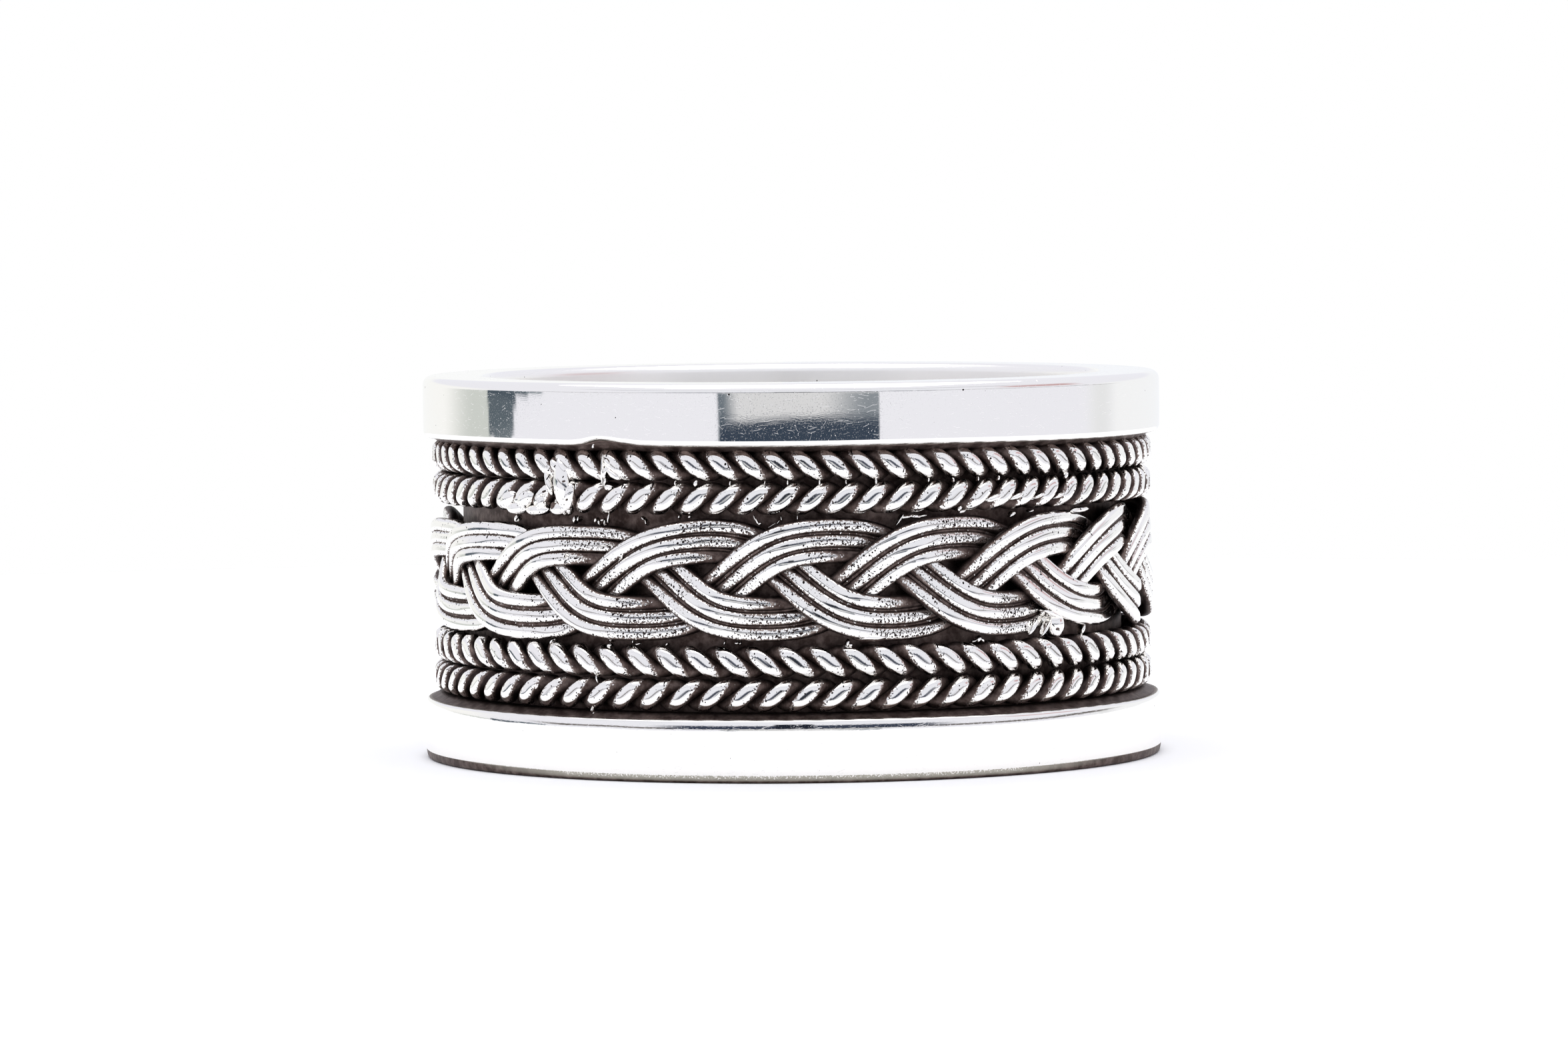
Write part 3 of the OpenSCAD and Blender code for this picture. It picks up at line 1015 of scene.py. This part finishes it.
def plait_section(angle, seed):
    """A round wire whose top was buffed to an uneven flat."""
    across, above = (CIRCLE * PLAIT_WIRE_R).T
    looks_up = np.radians(FLAT_LOOKS_UP + FLAT_WANDERS * wander(4 * angle, seed))[:, None]
    flat = FLAT_AT * PLAIT_WIRE_R - np.tan(looks_up) * across - across ** 2 / 2 / PLAIT_FLAT_R
    lowered = above - worn_off(above - flat, PLAIT_WORN_BY)
    return np.stack(np.broadcast_arrays(across, lowered), -1)


def plait_wire(number, place):
    """One wire of one strand. Place is -1, 0 or 1, from the lower to the upper side of the strand."""
    path, turn = strand_point(number, PHASES, place * WIRE_PITCH, 0)
    points = tube(path, polar(1, turn, 0), plait_section(turn, 3 * number + place + 80))
    return Skin(points, plait_wear(PHASES, turn, place))


def solder_web(number):
    """What fills the grooves of one strand."""
    sides = np.array([-1, -0.5, 0, 0.5, 1]) * WIRE_PITCH
    across = np.concatenate([sides, sides[::-1]])[None]
    above = np.repeat([WEB_TOP, WEB_FOOT], len(sides))[None]
    points, turn = strand_point(number, PHASES[:, None], across, above)
    return Skin(points, WEB_WEAR)


for number in range(1, STRANDS + 1):
    node = f"plait_strand_{number}"
    wires = [plait_wire(number, place) for place in (-1, 0, 1)]
    piece = make_piece(node + "_wires", wires + [solder_web(number)], BUFFED)
    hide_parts(node)

# %% [markdown]
# ## Solder
#
# The ring was put together with solder, and the solder shows. It ran up the joint in the ropes, flooded a
# few of their turns, closed one loop of the plait to the rope below, and froze in drops and threads in the
# corners of the channel. Most lumps are no bigger than a grain of sand, but the light catches them, and
# they tell more about how the ring was made than anything else. Metaballs melt together as solder does, but
# they swallow the small drops. Here each lump is a squashed ball with an uneven skin, and a table says
# where it froze.

# %% Solder
# Lumps by where they are, and their wear. Columns: angle and height of the middle, length, width, lean of
# the length from the ring's run, the radius it stands to, and how deep it reaches, in degrees and
# millimetres.
SOLDER = {
    "joint in the ropes": (0.8, [
        (-30.3, 9.32, 1.0, 0.085, 88, 11.31, 0.3),
        (-30.2, 8.95, 0.35, 0.1, 80, 11.2, 0.3),
        (-31.2, 10.03, 0.13, 0.06, 70, 11.5, 0.1),
        (-29.5, 9.56, 0.32, 0.16, -50, 11.31, 0.3),
        (-29.9, 9.24, 0.4, 0.13, 75, 11.3, 0.3),
        (-28.6, 9.2, 0.55, 0.22, -38, 11.31, 0.35),
        (-29.5, 8.79, 0.26, 0.16, 10, 11.28, 0.3),
        (-30.2, 7.85, 0.3, 0.07, 80, 11.0, 0.2),
    ]),
    "flooded turns": (0.78, [
        (-38.2, 8.82, 1.8, 0.7, 96, 11.37, 0.7),
        (-39.3, 9.42, 0.6, 0.34, -58, 11.34, 0.6),
        (-36.8, 8.5, 0.9, 0.4, 80, 11.34, 0.6),
        (-38.9, 8.12, 0.72, 0.42, 10, 11.34, 0.6),
        (-40.9, 8.91, 0.85, 0.2, 106, 11.32, 0.5),
        (-42.1, 8.53, 0.62, 0.17, 26, 11.3, 0.5),
        (-42.6, 8.25, 0.62, 0.42, 70, 11.33, 0.5),
        (-43.6, 8.05, 0.95, 0.34, 2, 11.32, 0.5),
        (-46.2, 8.36, 0.78, 0.52, 34, 11.33, 0.5),
        (-48.4, 8.08, 0.92, 0.36, 3, 11.32, 0.5),
        (-50.6, 8.32, 0.8, 0.5, 28, 11.31, 0.5),
    ]),
    "loop closed to the rope": (0.95, [
        (46.1, 4.42, 0.84, 0.6, 90, 11.27, 0.9), (45.5, 4.7, 0.9, 0.26, -24, 11.24, 0.6),
        (43.9, 4.36, 0.66, 0.14, 52, 11.12, 0.3), (41.3, 4.42, 0.55, 0.13, 55, 11.08, 0.3),
        (53.4, 4.24, 0.4, 0.13, 75, 11.05, 0.3),
    ]),
    "turns run together": (0.9, [
        (32.9, 8.36, 0.6, 0.2, 18, 11.27, 0.4), (37.3, 8.38, 0.55, 0.18, 18, 11.27, 0.4),
        (41.8, 8.36, 0.5, 0.15, 20, 11.26, 0.4), (46.3, 8.34, 0.5, 0.14, 20, 11.26, 0.4),
    ]),
    "between the upper ropes": (0.8, [
        (-18.3, 8.94, 0.13, 0.06, 80, 11.16, 0.2), (-15.0, 8.93, 0.2, 0.13, 70, 11.18, 0.2),
        (-9.6, 8.93, 0.12, 0.06, 80, 11.16, 0.2), (-4.2, 8.95, 0.12, 0.05, 70, 11.16, 0.2),
        (-0.7, 8.94, 0.13, 0.07, 85, 11.16, 0.2), (4.2, 8.94, 0.14, 0.07, 80, 11.16, 0.2),
        (8.3, 8.94, 0.12, 0.06, 95, 11.16, 0.2), (13.0, 8.95, 0.17, 0.07, 85, 11.17, 0.2),
        (21.5, 8.95, 0.13, 0.07, 70, 11.16, 0.2), (25.7, 8.93, 0.14, 0.07, 90, 11.16, 0.2),
        (30.1, 8.94, 0.13, 0.06, 85, 11.16, 0.2), (33.9, 8.94, 0.15, 0.08, 75, 11.16, 0.2),
        (48.4, 8.93, 0.22, 0.14, 60, 11.16, 0.2),
    ]),
    "below the upper ropes": (0.75, [
        (-49.6, 7.76, 0.22, 0.13, 60, 11.05, 0.3), (-36.8, 7.78, 0.24, 0.08, 85, 11.0, 0.3),
        (-36.0, 7.8, 0.16, 0.07, 80, 11.0, 0.3), (-32.7, 7.78, 0.16, 0.09, 70, 11.0, 0.3),
        (-32.0, 7.72, 0.17, 0.07, 100, 11.0, 0.3), (-31.4, 7.79, 0.13, 0.08, 20, 11.0, 0.3),
        (-30.9, 7.72, 0.17, 0.07, 85, 11.0, 0.3), (-24.1, 7.86, 0.17, 0.06, -50, 11.0, 0.3),
        (-23.6, 7.74, 0.2, 0.06, -75, 10.98, 0.3), (-17.9, 7.92, 0.12, 0.06, 85, 11.05, 0.3),
        (-16.2, 7.92, 0.12, 0.09, 20, 11.05, 0.3), (-5.9, 7.9, 0.2, 0.05, 105, 11.05, 0.3),
        (-5.5, 7.78, 0.28, 0.08, -62, 11.02, 0.3), (-5.1, 7.71, 0.14, 0.11, 30, 11.0, 0.3),
        (-1.7, 7.86, 0.2, 0.05, 100, 11.05, 0.3), (-2.2, 7.76, 0.18, 0.05, 55, 11.02, 0.3),
        (-3.2, 7.67, 0.3, 0.045, 32, 11.0, 0.3), (0.8, 7.88, 0.2, 0.05, 92, 11.05, 0.3),
        (17.0, 7.78, 0.42, 0.09, 55, 11.02, 0.3), (18.1, 7.86, 0.34, 0.12, 6, 11.05, 0.3),
        (19.6, 7.86, 0.34, 0.13, -6, 11.05, 0.3), (20.9, 7.88, 0.26, 0.1, 10, 11.05, 0.3),
        (26.9, 8.08, 0.2, 0.12, 50, 11.15, 0.3), (27.5, 7.98, 0.22, 0.1, 10, 11.12, 0.3),
        (37.4, 7.82, 0.26, 0.17, 30, 11.0, 0.3), (41.2, 7.9, 0.22, 0.08, 20, 11.0, 0.3),
        (53.2, 7.84, 0.9, 0.2, 2, 11.05, 0.3),
    ]),
    "above the lower ropes": (0.75, [
        (-41.8, 4.05, 0.2, 0.09, 60, 11.0, 0.3), (-30.0, 4.2, 0.14, 0.06, 88, 11.0, 0.3),
        (-30.2, 4.04, 0.2, 0.12, 20, 11.05, 0.3), (-26.0, 4.17, 0.14, 0.05, 80, 11.0, 0.3),
        (-25.2, 4.1, 0.22, 0.06, 8, 11.0, 0.3), (-20.2, 4.1, 0.12, 0.07, 40, 11.0, 0.3),
        (-10.8, 4.17, 0.16, 0.06, 75, 11.0, 0.3), (-8.9, 4.16, 0.16, 0.1, 10, 11.0, 0.3),
        (-8.3, 4.15, 0.13, 0.07, 60, 11.0, 0.3), (8.4, 4.14, 0.24, 0.14, 70, 11.08, 0.3),
        (8.9, 4.08, 0.15, 0.12, 20, 11.08, 0.3), (29.6, 4.08, 0.17, 0.08, 20, 11.05, 0.3),
        (30.4, 4.13, 0.22, 0.13, 60, 11.08, 0.3), (31.0, 4.09, 0.17, 0.09, -50, 11.08, 0.3),
    ]),
    "between the lower ropes": (0.75, [
        (-32.4, 3.24, 0.2, 0.06, -60, 11.2, 0.2), (-32.1, 3.04, 0.26, 0.06, -82, 11.16, 0.2),
        (-33.3, 2.08, 0.16, 0.09, 80, 11.1, 0.3), (-33.0, 1.98, 0.12, 0.07, 20, 11.1, 0.3),
        (-46.4, 2.56, 0.3, 0.12, 40, 11.22, 0.3), (-44.0, 2.7, 0.24, 0.12, 60, 11.22, 0.3),
    ]),
    "black round the mended wire, and in pits": (0.0, [
        (12.2, 4.29, 1.12, 0.3, 1, 11.17, 0.5), (45.4, 4.3, 0.1, 0.08, 20, 11.29, 0.2),
        (-41.4, 8.62, 0.1, 0.06, 40, 11.36, 0.2), (-37.2, 8.95, 0.09, 0.06, 20, 11.4, 0.2),
        (-39.6, 8.2, 0.2, 0.08, 80, 11.38, 0.2), (-36.6, 8.4, 0.08, 0.05, 60, 11.4, 0.2),
    ]),
    "a wire mended in the plait": (0.9, [
        (12.2, 4.29, 0.96, 0.2, 1, 11.22, 0.5), (10.2, 4.33, 0.22, 0.16, -40, 11.2, 0.4),
    ]),
    "drops on the seam": (0.9, [
        (-30.7, 7.03, 0.34, 0.06, 6, 11.3, 0.3), (-27.1, 6.72, 0.24, 0.07, 55, 11.32, 0.3),
        (-37.4, 6.72, 0.2, 0.05, 65, 11.33, 0.3), (-34.6, 5.3, 0.16, 0.05, -60, 11.33, 0.3),
    ]),
}


# Lumps longer than this have a mesh twice as fine
LONG = 0.7
# How uneven a lump's skin is, how square it is seen from its end (1 is round), and how much more wear its
# crown has than its sides
BULGE = 0.08
SQUARENESS = 0.75
CROWN_WEAR = 0.14


def lump(angle, height, length, width, lean, stands_to, deep, wear, seed):
    """A squashed ball with an uneven skin, its length along its lean."""
    draw = np.random.default_rng(seed)
    fine = 2 if length > LONG else 1
    around = np.radians(np.arange(0, 360, 20.0 / fine))[:, None]
    ends = np.radians(np.linspace(-89, 89, 12 * fine + 1))[None]
    bulge = 1.0
    for k, m in ((2, 2), (3, 1), (4, 3)):
        size = BULGE / fine ** 2 * draw.normal()
        bulge = bulge + size * np.sin(k * around + draw.uniform(0, 7)) * np.cos(m * ends)
    along = length / 2 * np.sin(ends) * bulge
    across = width / 2 * np.cos(ends) * np.cos(around) * bulge
    out = np.cos(ends) * np.sin(around)
    out = deep / 2 * np.sign(out) * np.abs(out) ** SQUARENESS * (1 + (bulge - 1) * 0.3)
    turn = math.radians(lean)
    run = along * math.cos(turn) - across * math.sin(turn)
    rise = along * math.sin(turn) + across * math.cos(turn)
    radius = stands_to - deep / 2
    return Skin(
        polar(radius + out, angle + np.degrees(run / radius), height + rise),
        np.clip(wear + CROWN_WEAR * np.sin(around), 0, 1), closed_columns=False,
    )


lumps = []
for wear, rows in SOLDER.values():
    lumps += [lump(*row, wear, seed=len(lumps) + k) for k, row in enumerate(rows)]
make_piece("solder_runs", lumps, BUFFED)
